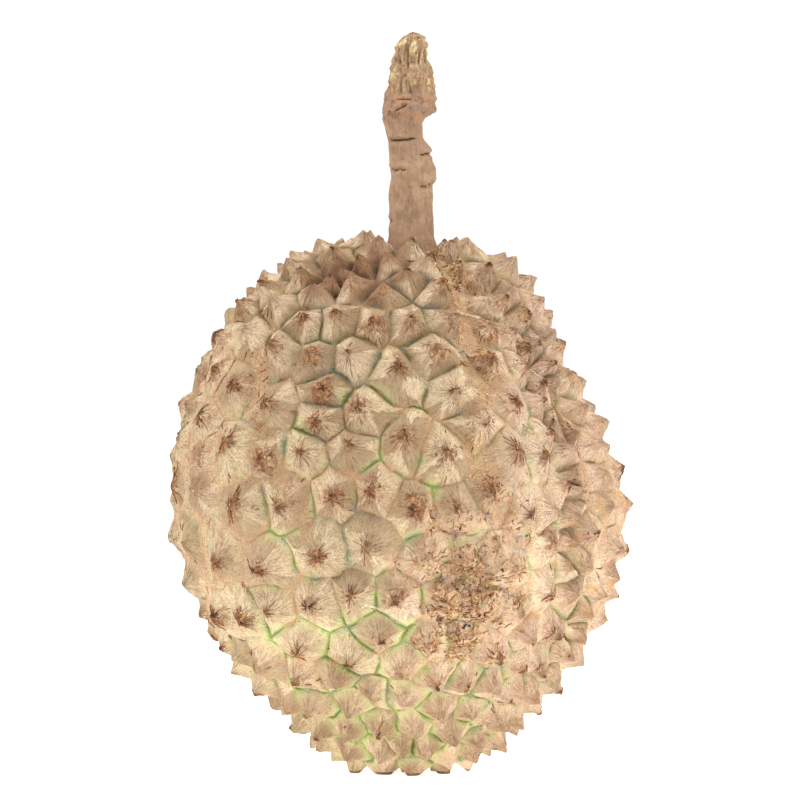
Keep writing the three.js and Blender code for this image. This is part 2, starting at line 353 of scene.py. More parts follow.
edges = np.vstack([cad_triangles[:, [0, 1]], cad_triangles[:, [1, 2]], cad_triangles[:, [2, 0]]])
start, end = np.vstack([edges, edges[:, ::-1]]).T
along = cad_points[end] - cad_points[start]
along /= norm(along, axis=1)[:, None]
fall = -(along * cad_normals[start]).sum(axis=1)
sharpness = np.bincount(start, fall) / np.bincount(start)
sharpest_neighbour = np.full(len(cad_points), -9.0)
np.maximum.at(sharpest_neighbour, start, sharpness[end])
worn_flat = cad_points[:, 2] < floor_level
stalk_low, stalk_high = (np.array(corner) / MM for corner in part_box("stalk"))
stalk_axis = (stalk_low + stalk_high) / 2
from_stalk = np.hypot(*(cad_points - stalk_axis).T[:2])
off_seat = (from_stalk > seat_radius) | (cad_points[:, 2] < view_height / MM)
is_tip = (sharpness > sharpest_neighbour) & (sharpness > tip_sharpness)
is_tip &= (cad_points[:, 2] > worn_height) & off_seat

tip_spine = np.full(len(cad_points), -1)  # which spine's tip a vertex is
tip_spine[is_tip] = np.arange(is_tip.sum())
spine_count = is_tip.sum()
flat_edges = worn_flat[start] & worn_flat[end]
while (worn_flat & (tip_spine < 0)).any():
    patch = {np.flatnonzero(worn_flat & (tip_spine < 0))[0]}
    while True:
        reached = set(end[flat_edges & np.isin(start, list(patch))]) | patch
        if reached == patch:
            break
        patch = reached
    tip_spine[list(patch)] = spine_count
    spine_count += 1
print("spines:", spine_count, "of which worn flat:", spine_count - is_tip.sum())

# %% [markdown]
# The ring of vertices round a tip is the spine's shoulder, and what a triangle touches says which spine
# it belongs to. What is left belongs to the seat of the stalk. An edge between two spines is a furrow.

# %% Give each triangle its spine
on_shoulder = (tip_spine[start] < 0) & (tip_spine[end] >= 0)
shoulder_spine = np.full(len(cad_points), -1)
shoulder_spine[start[on_shoulder]] = tip_spine[end[on_shoulder]]
touched = np.where(tip_spine >= 0, tip_spine, shoulder_spine)[cad_triangles]
triangle_spine = touched.max(axis=1)

sides = {}
for triangle, spine in zip(cad_triangles, triangle_spine):
    for a, b in ((0, 1), (1, 2), (2, 0)):
        sides.setdefault(frozenset((triangle[a], triangle[b])), []).append(spine)
furrow_edges = {}
for edge, (one, other) in sides.items():
    if one != other:
        furrow_edges.setdefault(one, []).append(tuple(edge))
        furrow_edges.setdefault(other, []).append(tuple(edge))
print("triangles on no spine:", (triangle_spine < 0).sum(), "spines with furrows:", len(furrow_edges))

# %% [markdown]
# Each spine gets a frame of its own: its tip, its axis, and two directions across the axis. The sum of a
# cone's face areas, as vectors, points along its axis.

# %% Give each spine its frame
tips = np.zeros((spine_count, 3))
axes = np.zeros((spine_count, 3))
corner_points = cad_points[cad_triangles]
area_vectors = np.cross(corner_points[:, 1] - corner_points[:, 0], corner_points[:, 2] - corner_points[:, 0])
for spine in range(spine_count):
    tips[spine] = cad_points[tip_spine == spine].mean(axis=0)
    axes[spine] = area_vectors[triangle_spine == spine].sum(axis=0)
foot_widths = np.sqrt(norm(axes, axis=1) / 2)  # the side of a square foot of the same area
axes /= norm(axes, axis=1)[:, None]
across = np.cross(axes, (0, 0, 1))
across /= norm(across, axis=1)[:, None]
upward = np.cross(across, axes)
print("foot widths:", foot_widths.min().round(1), "to", foot_widths.max().round(1), "mm")

# %% [markdown]
# ## Husk: a mesh fine enough to carve
#
# Subdivide cuts every triangle into sixteen, and each of these keeps their triangle's spine number.

# %% Subdivide
husk_cuts = 3

number = husk.data.attributes.new("spine", "INT", "FACE")
number.data.foreach_set("value", triangle_spine.astype(np.int32))
subdivide(husk, husk_cuts)

points = points_of(husk)
triangles = triangles_of(husk)
face_spine = np.empty(len(triangles), np.int32)
husk.data.attributes["spine"].data.foreach_get("value", face_spine)
point_spine = np.full(len(points), -1)
point_spine[triangles.ravel()] = np.repeat(face_spine, 3)
report(husk)

# %% [markdown]
# Two distances drive all carving and colour: how far a point is from the nearest furrow, and where it is
# round its own tip.

# %% Measure distances to furrows and tips


def distances_to_segments(places, starts, ends):
    """From each place to each line segment: one row a segment."""
    rows = []
    for a, b in zip(starts, ends):
        run = b - a
        share = np.clip((places - a) @ run / (run @ run), 0, 1)
        rows.append(norm(places - a - share[:, None] * run, axis=1))
    return np.array(rows)


from_furrow = np.full(len(points), 3.0)
face_flank = np.zeros(len(triangles), int)  # which of its spine's flanks a triangle is on
face_middles = points[triangles].mean(axis=1)
for spine, spine_edges in furrow_edges.items():
    own = point_spine == spine
    own_faces = face_spine == spine
    begins, finishes = cad_points[np.array(spine_edges)].transpose(1, 0, 2)
    from_furrow[own] = distances_to_segments(points[own], begins, finishes).min(axis=0)
    face_flank[own_faces] = distances_to_segments(face_middles[own_faces], begins, finishes).argmin(axis=0)

far_away = 9.0  # for points on no spine
has_spine = point_spine >= 0
offset = points - tips[point_spine]
ray_x, ray_y = (
    np.where(has_spine, (offset * direction[point_spine]).sum(axis=1), far_away)
    for direction in (across, upward)
)
from_tip = np.hypot(ray_x, ray_y)
print("furrow vertices:", (from_furrow < 0.01).sum())

# %% Noise and fades


def rough(places, size, seed=0):
    """Smooth noise at each place, about -0.5 to 0.5, in lumps of this size."""
    shift = Vector((seed, 1.7 * seed, -seed))
    return np.array([noise.noise(Vector(place) / size + shift) for place in places])


def fade(values, start, end):
    """0 up to the start, 1 from the end on, and a smooth step between. It may also run downwards."""
    share = np.clip((values - start) / (end - start), 0, 1)
    return share * share * (3 - 2 * share)


print("halfway along a fade:", fade(0.5, 0, 1))

# %% [markdown]
# ## Husk: special places
#
# Four kinds of place have a look of their own: the scurfy bands that run down over old seams in the
# husk, the dry crust low on the front, the pit beside the stalk, where shade is painted in as a darker
# brown over its reddish-brown spines, and the cheeks, left and right, where scurf fills the furrows.
# Each is a mask over the points, 1 inside and 0 outside. Noise makes the edges of all but the cheeks
# ragged.

# %% Mask the bands, the crust, the pit and the cheeks
front_band = [  # (across, up), in millimetres, on the front
    (14, 187), (23, 171), (26, 156), (32, 143), (26, 129),
    (26, 117), (27, 112), (33, 107), (38, 91), (31, 83),
]
left_band = [(-49, 150), (-50, 128), (-46, 119), (-42, 108), (-36, 100), (-33, 88)]
pit = (-16, -28, 181)
crust_centre = (26, -74, 62)

front = fade(points[:, 1], 10, -15)


def band_mask(route, width):
    flat = points[:, [0, 2]]
    route = np.array(route, float)
    wander = rough(points, 9, 21)
    away = distances_to_segments(flat, route[:-1], route[1:]).min(axis=0) + 3 * wander
    return fade(away, width, width * 0.3) * front


def patch_mask(centre, width, height, seed):
    away = (points - centre) / (width, width, height)
    return fade(norm(away, axis=1) + 0.7 * rough(points, 7, seed), 1.15, 0.45)


bands = np.maximum(band_mask(front_band, 6.5), band_mask(left_band, 5.5))
crust = patch_mask(crust_centre, 24, 39, 31)
# the pit beside the stalk: a mask for painted shade
painted_pit_shade = patch_mask(pit, 24, 18, 37)
cheeks = fade(points[:, 0], -46, -64) + 0.6 * fade(points[:, 0], 62, 72)
cheeks *= fade(points[:, 2], 35, 60) * fade(points[:, 2], 178, 160)
print("points inside:", [int((mask > 0.5).sum()) for mask in (bands, crust, painted_pit_shade, cheeks)])

# %% [markdown]
# ## Husk: carving
#
# A real flank isn't flat. Its ridges are blunt, fibres make shallow flutes in it, and the furrow at its
# foot is a narrow groove. Sculpting by hand would take days for six hundred spines, so the same strokes
# are written as rules: each rule moves a point along its normal, by an amount that depends on its
# distances to tip and furrow. A Smooth modifier blunts the ridges first.

# %% Blunt the ridges
ridge_softness = 0.2
ridge_passes = 1

soft = husk.vertex_groups.new(name="soft")
softness = np.clip(from_furrow / 1.2, 0, 1) * np.clip(from_tip / 4, 0.1, 1) * has_spine
for index, weight in enumerate(softness):
    soft.add([index], weight, "REPLACE")
modifier = husk.modifiers.new("blunt_ridges", "SMOOTH")
modifier.factor = ridge_softness
modifier.iterations = ridge_passes
modifier.vertex_group = "soft"
work_on(husk)
bpy.ops.object.modifier_apply(modifier="blunt_ridges")
husk.vertex_groups.clear()
print("ridges blunted")

# %% Carve the husk
groove_depth = 0.2
groove_width = 1.1
flute_depth = 0.6
lump_height = 0.6
pock_depth = 0.3
channel_depth = 1.6  # how far the foot of a flank is cut back in a band
crust_relief = 2.4
cheek_fill = 2.0  # scurf fills the furrows of both cheeks
tip_wear = 1.2
sideways_bend = 2.2
tip_point = 1.0

random.seed(7)
spine_random = np.array([random.random() for _ in range(spine_count + 1)])  # the last is for no spine
belt = fade(np.abs(points[:, 2] - 105), 95, 30)  # 1 round the fruit's middle, 0 at its ends
belt *= fade(points[:, 0], 66, 46)  # the right lobe was handled less

turn = np.stack([ray_x, ray_y, np.zeros(len(points))], axis=1) / np.maximum(from_tip, 0.3)[:, None]
turn[:, 2] = 3.1 * point_spine + 0.04 * from_tip
flank = fade(from_furrow, 0.3, 2.5) * fade(from_tip, 0, 3)
carved = -groove_depth * np.exp(-((from_furrow / groove_width) ** 2))
carved += flute_depth * rough(turn, 0.42) * flank
carved += lump_height * rough(points, 5.5, 3) * fade(from_furrow, 0, 3)
carved += pock_depth * rough(points, 1.6, 5) * fade(from_furrow, 0.3, 2)
carved += crust_relief * (rough(points, 3.2, 91) - 0.15) * crust
carved -= channel_depth * bands * fade(from_furrow, 0, 2) * fade(from_furrow, 5, 2.5)
carved += cheek_fill * cheeks * fade(from_furrow, 4.5, 0)
wear = tip_wear * (0.25 + 0.75 * belt) * fade(spine_random[point_spine], 0.2, 1.0)
carved -= wear * fade(from_tip, 2.6, 0) * (0.6 + rough(turn, 0.6, 9))
carved += tip_point * (1 - belt) * fade(from_tip, 3.6, -1) * has_spine

bend = np.stack([rough(points, 7, seed) for seed in (51, 53, 57)], axis=1) * sideways_bend
normals = normals_of(husk)
bend -= (bend * normals).sum(axis=1)[:, None] * normals
points = points_of(husk) + normals * carved[:, None] + bend
points[:, 2] = np.maximum(points[:, 2], 0)
move_points(husk, points)
print("carved:", carved.min().round(2), "to", carved.max().round(2), "mm")

# %% Shade the husk


def smooth(piece, angle):
    """Shades a piece smooth, except at edges sharper than this angle in degrees."""
    work_on(piece)
    bpy.ops.object.shade_smooth_by_angle(angle=math.radians(angle))


smooth(husk, 38)
report(husk)

# %% [markdown]
# ## Husk: marks for its colours
#
# A material can read values that are stored on the mesh. These hold each point's place round its own
# tip, its distance from the furrow, a number for each flank, and the masks of the special places.

# %% Store places, distances and masks


def store(piece, name, domain, values):
    """A number or a vector for each point, corner or face of its mesh."""
    values = np.asarray(values, np.float32)
    kind, field = ("FLOAT_VECTOR", "vector") if values.ndim == 2 else ("FLOAT", "value")
    piece.data.attributes.new(name, kind, domain).data.foreach_set(field, values.ravel())


corner_spine = np.repeat(face_spine, 3)
corner_offset = points[triangles.ravel()] - tips[corner_spine]
ray = np.stack([
    (corner_offset * across[corner_spine]).sum(axis=1),
    (corner_offset * upward[corner_spine]).sum(axis=1),
    spine_random[corner_spine],
], axis=1)
ray[corner_spine < 0, :2] = 12  # far from any tip
store(husk, "ray", "CORNER", ray)
store(husk, "furrow", "POINT", from_furrow)
flank_tone = (np.sin(face_flank * 12.9 + face_spine * 78.2) * 437.5) % 1  # looks random, 0 to 1
store(husk, "flank", "FACE", flank_tone)
store(husk, "zones", "POINT", np.stack([bands, crust, painted_pit_shade], axis=1))
store(husk, "cheek", "POINT", cheeks)
print("stored ray, furrow, flank, zones and cheek")

# %% [markdown]
# ## Husk: material
#
# The husk is dry tan fibre. Its streaks run from each tip to its furrow, and noise on the direction of
# the ray from the tip makes such streaks. The furrows are still green where the husk last grew, and the
# tips are dry, dark and torn.

# %% Material helpers


def grain(place, size, detail=2.0, ragged=0.5, distortion=0.0):
    """Noise from about 0.3 to 0.7, in lumps of this size in millimetres."""
    values = {"Vector": place, "Scale": 1 / size, "Detail": detail, "Roughness": ragged}
    return place.node("ShaderNodeTexNoise", values=values | {"Distortion": distortion})


def place_in_mm(tree):
    place = tree.node("ShaderNodeTexCoord", output="Object")
    return place.node("ShaderNodeVectorMath", {"operation": "SCALE"}, {0: place, "Scale": 1 / MM})


def stored(tree, name, output="Fac"):
    return tree.node("ShaderNodeAttribute", {"attribute_name": name}, output=output)


def parts(vector):
    return [vector.node("ShaderNodeSeparateXYZ", values={0: vector}, output=axis) for axis in "XYZ"]


dry_shine = 0.25


def rough_surface(color, roughness, relief, depth):
    """A matt surface whose relief, 0 to 1, stands up by a depth in millimetres."""
    bump = color.node("ShaderNodeBump", values={"Height": relief, "Distance": depth * MM, "Strength": 1.0})
    values = {"Base Color": color, "Roughness": roughness, "Specular IOR Level": dry_shine, "Normal": bump}
    surface = color.node("ShaderNodeBsdfPrincipled", values=values)
    color.node("ShaderNodeOutputMaterial", values={"Surface": surface})
    print("material of", len(color.tree.nodes), "nodes")


# %% Husk material: where on its spine a point is
tree = new_material(husk, "husk_fibre")
place = place_in_mm(tree)
rightward, _, up_place = parts(place)
furrow = stored(tree, "furrow") + grain(place, 3, 2) - 0.5
ray_across, ray_up, chance = parts(stored(tree, "ray", "Vector"))
reach = (ray_across * ray_across + ray_up * ray_up).math("SQRT")


def round_tip(streaks, bend):
    """A place that changes with direction round the tip, in about this many streaks, and a bit downwards."""
    radius = streaks / math.tau
    x, y = ray_across / reach * radius, ray_up / reach * radius
    return reach.node("ShaderNodeCombineXYZ", values={"X": x, "Y": y, "Z": chance * 40 + reach * bend})


coarse_streak = grain(round_tip(14, 0.08), 1, 2)
fine_streak = grain(round_tip(60, 0.5), 1, 4, 0.7)
hair = grain(round_tip(130, 0.35), 1, 2, 0.7)
bands_here, crust_here, painted_pit_shade_here = parts(stored(tree, "zones", "Vector"))
cheek_here = stored(tree, "cheek")
belt_here = (up_place - 110).math("ABSOLUTE").below(35, 85)
on_right = rightward.above(10, 50)
low_down = up_place.below(25, 85)
print("nodes so far:", len(tree.tree.nodes))

# %% Husk material: fibre and scurf
scurf = grain(place, 5, 5, 0.65)
dust = grain(place, 0.7, 2, 0.7)
sand = grain(place, 0.5, 1, 0.6)
color = painted((209, 190, 149), (229, 213, 179), scurf.above(0.4, 0.64) * 0.75)
rosy = grain(place, 40, 1) * 0.5 + rightward / 300 - up_place / 600  # low on the right the most
# painted shade: a darker brown on flanks picked at random, for the shaded side of the spines, weaker on the
# right and stronger towards the top
painted_flank_shade = stored(tree, "flank").above(0.3, 0.75) * (0.75 - on_right * 0.45)
painted_flank_shade = painted_flank_shade * (up_place.above(40, 150) * 0.35 + 0.8)
hair_here = (reach.below(3, 8) * 0.4 + 0.5) * (1 - rightward.above(45, 70) * 0.4)
hair_here = hair_here * (1 - low_down * 0.4) * (1 - up_place.above(120, 165) * 0.35)
rays = grain(round_tip(75, 0.2), 1, 2, 0.6).above(0.53, 0.6) * reach.below(2.5, 9)
color.coats(
    (210, 180, 148, grain(place, 26, 3).above(0.5, 0.62) * 0.5),
    (236, 203, 180, rosy.above(0.1, 0.3) * 0.6),
    # painted light: paler towards the top
    (228, 204, 174, up_place.above(115, 175) * 0.5),
    (220, 197, 156, up_place.below(5, 60) * 0.4),
    (230, 198, 178, on_right * up_place.above(80, 130) * 0.5),
    # painted shade on the flanks
    (149, 124, 89, painted_flank_shade),
    # painted shade in the pit beside the stalk: a darker brown, with scurf patches, and redder near the tips
    (150, 106, 74, painted_pit_shade_here * 0.85),
    (128, 104, 76, painted_pit_shade_here * scurf.above(0.48, 0.58) * 0.6),
    (186, 126, 86, painted_pit_shade_here * reach.below(1, 5) * scurf.below(0.42, 0.52) * 0.7),
    (166, 138, 96, coarse_streak.above(0.5, 0.66) * 0.35),
    (116, 78, 54, fine_streak.above(0.52, 0.66) * 0.3),
    (116, 78, 54, hair.above(0.54, 0.61) * hair_here),
    (240, 222, 192, hair.below(0.36, 0.46) * 0.14),
    (182, 142, 116, sand.above(0.51, 0.61) * (rightward.above(20, 50) * 0.3 + 0.45)),
    (166, 158, 130, sand.below(0.36, 0.46) * 0.3),
    (150, 112, 84, dust.above(0.52, 0.66) * 0.45),
    (122, 80, 56, rays * grain(place, 4, 2).above(0.36, 0.6) * (1 - low_down * 0.4)),
)

# %% Husk material: furrows
patchy = grain(place, 17, 3)
ragged = grain(place, 1.4, 3, 0.7)
green_here = (patchy * 0.5 + grain(place, 8, 2) * 0.5 - up_place / 900).above(0.4, 0.5)
scurf_here = grain(place, 30, 2).above(0.42, 0.56) * up_place.above(10, 60)
clean_here = 1 - rightward.above(5, 45) * 0.55  # furrows show less on the right
in_furrow = furrow.below(0.4, 2.8)
pale_green = grain(place, 10, 3).above(0.53, 0.6) * furrow.below(1, 6) * on_right
green_line = furrow.below(0.2, 1.6) * green_here * ragged.above(0.4, 0.54)
line_here = grain(place, 8, 3).above(0.42, 0.58) * (up_place.above(105, 150) * 0.55 + 0.45)
# painted shade: a soft dark band along the furrows high on the husk, but not in the pit
painted_furrow_shade = furrow.below(0.2, 3.4) * up_place.above(112, 160) * (1 - painted_pit_shade_here)
filled = cheek_here * furrow.below(1.0, 3.8) * patchy.above(0.36, 0.46) * ragged.above(0.34, 0.48)
golden = grain(place, 7, 3).above(0.55, 0.62) * ragged.above(0.36, 0.5) * rightward.above(52, 66)
spotted = grain(place, 7, 3).above(0.54, 0.6) * (furrow.below(0.8, 2.6) + bands_here * 0.5)
color.coats(
    (198, 160, 118, in_furrow * ragged.above(0.38, 0.5) * scurf_here * (1 - green_here) * 0.8),
    (206, 208, 146, furrow.below(0.5, 4.4) * green_here * clean_here * clean_here * 0.6),
    (214, 208, 160, pale_green * ragged.above(0.36, 0.5) * 0.4),
    (140, 178, 66, green_line * clean_here * 0.75),
    (98, 112, 46, furrow.below(0.1, 0.6) * green_here * ragged.below(0.44, 0.56) * 0.7),
    (100, 90, 58, furrow.below(0.0, 1.4) * line_here * clean_here),
    # painted shade along the high furrows
    (124, 106, 70, painted_furrow_shade * clean_here * 0.4),
    (206, 172, 136, filled * 0.85),
    (158, 108, 78, cheek_here * furrow.below(1.5, 5) * sand.above(0.5, 0.58) * 0.6),
    (206, 206, 156, cheek_here * grain(place, 9, 3).below(0.38, 0.46) * ragged.above(0.36, 0.5) * 0.3),
    (170, 122, 92, cheek_here * grain(place, 4, 4, 0.75).above(0.54, 0.6) * 0.5),
    (198, 150, 96, golden * 0.6),
    (128, 124, 132, spotted * sand.above(0.54, 0.58) * 0.8),
    (148, 168, 116, spotted * sand.below(0.4, 0.45) * 0.6),
)

# %% Husk material: tips
star_reach = chance * 4 + 1.3
star = grain(round_tip(9, 0.3), 1, 3, 0.75) * 3.4 - reach / star_reach - 0.85
star_size = (chance * 7.3).math("FRACT")
handled = belt_here * rightward.below(44, 62) * (rightward * -1).below(66, 76) * 0.75 + 0.25
star = star.above(0.0, 0.3) * handled * star_size.above(-0.1, 0.4)
shreds = grain(round_tip(22, 0.7), 1, 3, 0.7)
torn = grain(place, 2.6, 4, 0.7, 1.2)
torn_here = reach.below(2.5, 6.5) * handled * star_size.above(0.15, 0.5)
color.coats(
    (172, 122, 84, star * 0.75),
    (116, 72, 48, star * shreds.above(0.5, 0.58) * 0.85),
    (216, 170, 114, star * shreds.below(0.4, 0.47) * 0.8),
    (154, 102, 70, torn.above(0.51, 0.55) * torn_here * 0.8),
    (94, 58, 42, torn.above(0.58, 0.62) * torn_here * 0.8),
    (216, 172, 116, torn.below(0.4, 0.44) * torn_here * 0.6),
)

# %% Husk material: bands, crust, pit and specks
flakes = grain(place, 1.7, 4, 0.7, 1.2)
in_channel = furrow.below(2.5, 5.5) * 0.75 + 0.25
in_band = bands_here.above(0.2, 0.6) * in_channel * grain(place, 5, 4, 0.7).above(0.36, 0.52)
specks = grain(place, 0.75, 1).above(0.66, 0.72)
color.coats(
    (186, 148, 110, in_band * ragged.above(0.34, 0.48) * 0.8),
    (158, 106, 76, in_band * sand.above(0.51, 0.6) * 0.45),
    (224, 192, 154, in_band * sand.below(0.4, 0.46) * 0.25),
    # more painted shade in the pit: darker towards the feet of its spines, and darkest in its furrows
    (112, 74, 50, painted_pit_shade_here * reach.above(2, 7) * 0.45),
    (88, 70, 48, painted_pit_shade_here * furrow.below(0.4, 3.8) * 0.75),
    (224, 182, 146, crust_here * 0.7),
    (234, 198, 166, crust_here * flakes.above(0.42, 0.5) * 0.8),
    (214, 170, 108, crust_here * flakes.above(0.57, 0.62) * 0.8),
    # painted shade in the hollows between the crust's flakes
    (136, 92, 64, crust_here * flakes.below(0.34, 0.41) * 0.5),
    (134, 136, 148, crust_here * grain(place, 5, 3, 0.6).above(0.55, 0.6) * sand.above(0.4, 0.5) * 0.55),
    (180, 196, 134, crust_here * grain(place, 6, 3, 0.6).below(0.4, 0.45) * 0.5),
    (74, 48, 38, crust_here * grain(place, 2.2, 1).above(0.66, 0.69)),
    (96, 62, 48, specks * grain(place, 9, 2).above(0.4, 0.6) * 0.8),
)

# %% Husk material: relief
relief = fine_streak * 0.45 + hair * 0.2 + coarse_streak * 0.4 + shreds * star
relief = relief + flakes * crust_here * 1.6 + scurf * 0.4 + sand * 0.3
rough_surface(color, scurf * 0.3 + 0.68, relief, 1.1)
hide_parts("husk")
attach(husk, "root")

# %% [markdown]
# ## Torn fibres on the tips
#
# Handling wears the tips down, and their fibres tear loose in a small dark star of long hairs and short
# broad shreds. One strand is modelled first: a three-sided bar, tapered at both ends. Four stars are put
# together from copies of it, and most tips get a copy of a star. Two Shrinkwrap modifiers lay all of
# them down, the edges of a strand just in the husk and its crest just above it. A strand that this
# pulls from one spine across to another is taken out.

# %% Model one strand
strand_length = 4 * MM
strand_width = 0.6 * MM
strand_cuts = (0.3, 0.65)  # as shares of its length
root_size, point_size = 0.25, 0.05  # what is left of its width at its ends
hair_breadth = 0.01 * MM  # what counts as the same place

bpy.ops.mesh.primitive_cylinder_add(
    vertices=3, radius=strand_width / 2, depth=strand_length, end_fill_type="NOTHING",
    location=(strand_length / 2, 0, 0), rotation=(0, math.pi / 2, 0),
)
strand = bpy.context.active_object
strand.name = "strand"
bpy.ops.object.transform_apply(location=True, rotation=True, scale=True)
strand.data.transform(Matrix.Rotation(math.pi / 2, 4, "X"))  # a corner of the bar upwards


def select_points(piece, chosen):
    """Selects, in edit mode, the vertices that a rule chooses."""
    shape = bmesh.from_edit_mesh(piece.data)
    for vertex in shape.verts:
        vertex.select_set(bool(chosen(vertex)))
    shape.select_flush(True)
    bmesh.update_edit_mesh(piece.data)


open_mesh(strand)
for share in strand_cuts:
    bpy.ops.mesh.select_all(action="SELECT")
    bpy.ops.mesh.bisect(plane_co=(strand_length * share, 0, 0), plane_no=(1, 0, 0))
for end_place, size in ((0, root_size), (strand_length, point_size)):
    select_points(strand, lambda vertex: abs(vertex.co.x - end_place) < hair_breadth)
    bpy.ops.mesh.edge_face_add()
    bpy.ops.transform.resize(value=(1, size, size), center_override=(end_place, 0, 0))
close_mesh()
crest = strand.vertex_groups.new(name="crest")
edge = strand.vertex_groups.new(name="edge")
for vertex in strand.data.vertices:
    (crest if vertex.co.z > hair_breadth else edge).add([vertex.index], 1, "REPLACE")
strand_points = len(strand.data.vertices)
report(strand)

# %% Put stars together from strands
strands_in_a_star = 16
star_variants = 4
shred = (0.35, 0.75), (0.7, 1.2), (0.45, 1)  # ranges of length, width and tone
long_hair = (0.5, 1.35), (0.35, 0.6), (0, 0.6)


def moved_copy(source, matrix):
    """A copy of a piece with a mesh of its own, its place already in its mesh."""
    mesh = source.data.copy()
    mesh.transform(matrix)
    piece = bpy.data.objects.new(source.name, mesh)
    bpy.context.scene.collection.objects.link(piece)
    return piece


def joined(members, name):
    work_on(members[0])
    for member in members:
        member.select_set(True)
    bpy.ops.object.join()
    members[0].name = name
    return members[0]


random.seed(11)
stars = []
for variant in range(star_variants):
    strands = []
    for index in range(strands_in_a_star):
        spin = Matrix.Rotation(math.tau * (index + random.uniform(-0.4, 0.4)) / strands_in_a_star, 4, "Z")
        lengths, widths, tones = shred if index % 3 == 0 else long_hair
        length, width = random.uniform(*lengths), random.uniform(*widths)
        aside = Matrix.Translation((random.uniform(0, 0.7) * MM, random.uniform(-0.5, 0.5) * MM, 0))
        strands.append(moved_copy(strand, spin @ aside @ Matrix.Diagonal((length, width, 1, 1))))
        store(strands[-1], "chance", "FACE", [random.uniform(*tones)] * len(strand.data.polygons))
    stars.append(joined(strands, "star"))
report(stars[0])

# %% Lay a star on each tip
star_share = 0.92  # of the spines round the middle that have one
least_share = 0.15  # of those far from it
lowest_worn = 12  # millimetres up; tips below it aren't handled
usual_foot = 15
star_sizes = (0.4, 1.2)  # on a spine with the usual foot
star_lengths = (0.9, 1.5)
star_widths = (0.5, 1.0)
off_centre = 0.8

tip_points = np.zeros(spine_count, int)  # the vertex at each tip
for spine in range(spine_count):
    own = np.flatnonzero(point_spine == spine)
    tip_points[spine] = own[np.argmin(from_tip[own])]

star_copies = []
for spine, peak in enumerate(tip_points):
    middle_share = belt[peak] * float(fade(abs(tips[spine, 0]), 78, 64))
    bare = tips[spine, 2] < lowest_worn or crust[peak] > 0.5
    if bare or random.random() > least_share + (star_share - least_share) * middle_share:
        continue
    facing = Vector(axes[spine]).to_track_quat("Z", "Y").to_matrix().to_4x4()
    spin = Matrix.Rotation(random.uniform(0, math.tau), 4, "Z")
    growth = 1 + 0.35 * cheeks[peak] + 0.3 * bands[peak]
    size = Matrix.Scale(random.uniform(*star_sizes) * growth * foot_widths[spine] / usual_foot, 4)
    stretch = Matrix.Diagonal((random.uniform(*star_lengths), random.uniform(*star_widths), 1, 1))
    shift = [random.uniform(-off_centre, off_centre) * MM for _ in range(2)]
    move = Matrix.Translation(Vector(points[peak]) * MM)
    matrix = move @ facing @ Matrix.Translation((*shift, 0)) @ spin @ stretch @ size
    star_copies.append(moved_copy(random.choice(stars), matrix))
for star in stars:
    bpy.data.objects.remove(star)
tip_fibres = joined(star_copies, "tip_fibres")
print("stars laid on tips:", len(star_copies))
report(tip_fibres)

# %% Lay the strands down on the husk
star_crest = 0.34
edge_depth = 0.06
most_stretch = 1.3  # how many times longer a strand may get,
stretch_margin = 0.5  # and how many millimetres more


def strand_spans(piece):
    """How far each strand reaches, in millimetres. Its points follow one another in the joined mesh."""
    strands = points_of(piece).reshape(-1, strand_points, 3)
    return norm(strands.max(axis=1) - strands.min(axis=1), axis=1)


def lay_down(piece, crest_height):
    """Lays strands on the husk, and takes out those that were pulled from one spine across to another."""
    spans = strand_spans(piece)
    for group, rise_above in (("crest", crest_height), ("edge", -edge_depth)):
        modifier = piece.modifiers.new("lay_down", "SHRINKWRAP")
        modifier.target = husk
        modifier.wrap_method = "NEAREST_SURFACEPOINT"
        modifier.wrap_mode = "ABOVE_SURFACE"
        modifier.offset = rise_above * MM
        modifier.vertex_group = group
        work_on(piece)
        bpy.ops.object.modifier_apply(modifier="lay_down")
    piece.vertex_groups.clear()
    stretched = np.repeat(strand_spans(piece) > spans * most_stretch + stretch_margin, strand_points)
    open_mesh(piece)
    select_points(piece, lambda vertex: stretched[vertex.index])
    bpy.ops.mesh.delete(type="VERT")
    close_mesh()
    print("taken out:", stretched.sum() // strand_points, "of", len(spans), "strands")


lay_down(tip_fibres, star_crest)

# %% Tip fibre material
tree = new_material(tip_fibres, "torn_fibre")
place = place_in_mm(tree)
patches = grain(place, 3.5, 3, 0.6)
chance = stored(tree, "chance")
color = painted((116, 74, 52), (172, 118, 80), grain(place, 1.2, 3, 0.6).above(0.42, 0.58))
color.coat((206, 160, 106), chance.above(0.6, 0.9) * 0.85)
color.coat((66, 42, 34), patches.below(0.36, 0.45) * 0.7)
rough_surface(color, patches * 0.2 + 0.7, grain(place, 0.4, 2), 0.2)
smooth(tip_fibres, 40)
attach(tip_fibres, "root")

# %% [markdown]
# ## Dry crust
#
# Low on the front the husk was bruised, and it healed with a crust of chips and loose fibre. Smaller
# crumbs of the same kind lie along the scurfy bands, in some furrows and at worn tips, and single
# shreds hang along the bands and on torn flanks. A chip is a rough flattened ball of twenty faces.
# Four are modelled, and copies of them and of the strand are scattered by weights over the husk.

# %% Model the chips
chip_variants = 4
chip_raggedness = 0.22 * MM

chips = []
for variant in range(chip_variants):
    bpy.ops.mesh.primitive_ico_sphere_add(subdivisions=1, radius=0.5 * MM, location=(0, 0, 0))
    chip = bpy.context.active_object
    chip.name = "chip"
    open_mesh(chip)
    bpy.ops.transform.vertex_random(offset=chip_raggedness, seed=variant + 1)
    bpy.ops.transform.resize(value=(1.5, 0.8, 0.4), center_override=(0, 0, 0))
    close_mesh()
    chips.append(chip)
report(chips[0])

# %% Scatter chips and fibres
underside = 5  # millimetres up from the floor

skin_normals = normals_of(husk)
random.seed(23)


def facing_of(place_index):
    """Turns a copy's top along the husk's normal, and its length away from the spine's tip."""
    top = Vector(skin_normals[place_index])
    outwards = Vector(offset[place_index])
    side = top.cross(outwards).normalized()
    return Matrix((side.cross(top), side, top)).transposed().to_4x4()


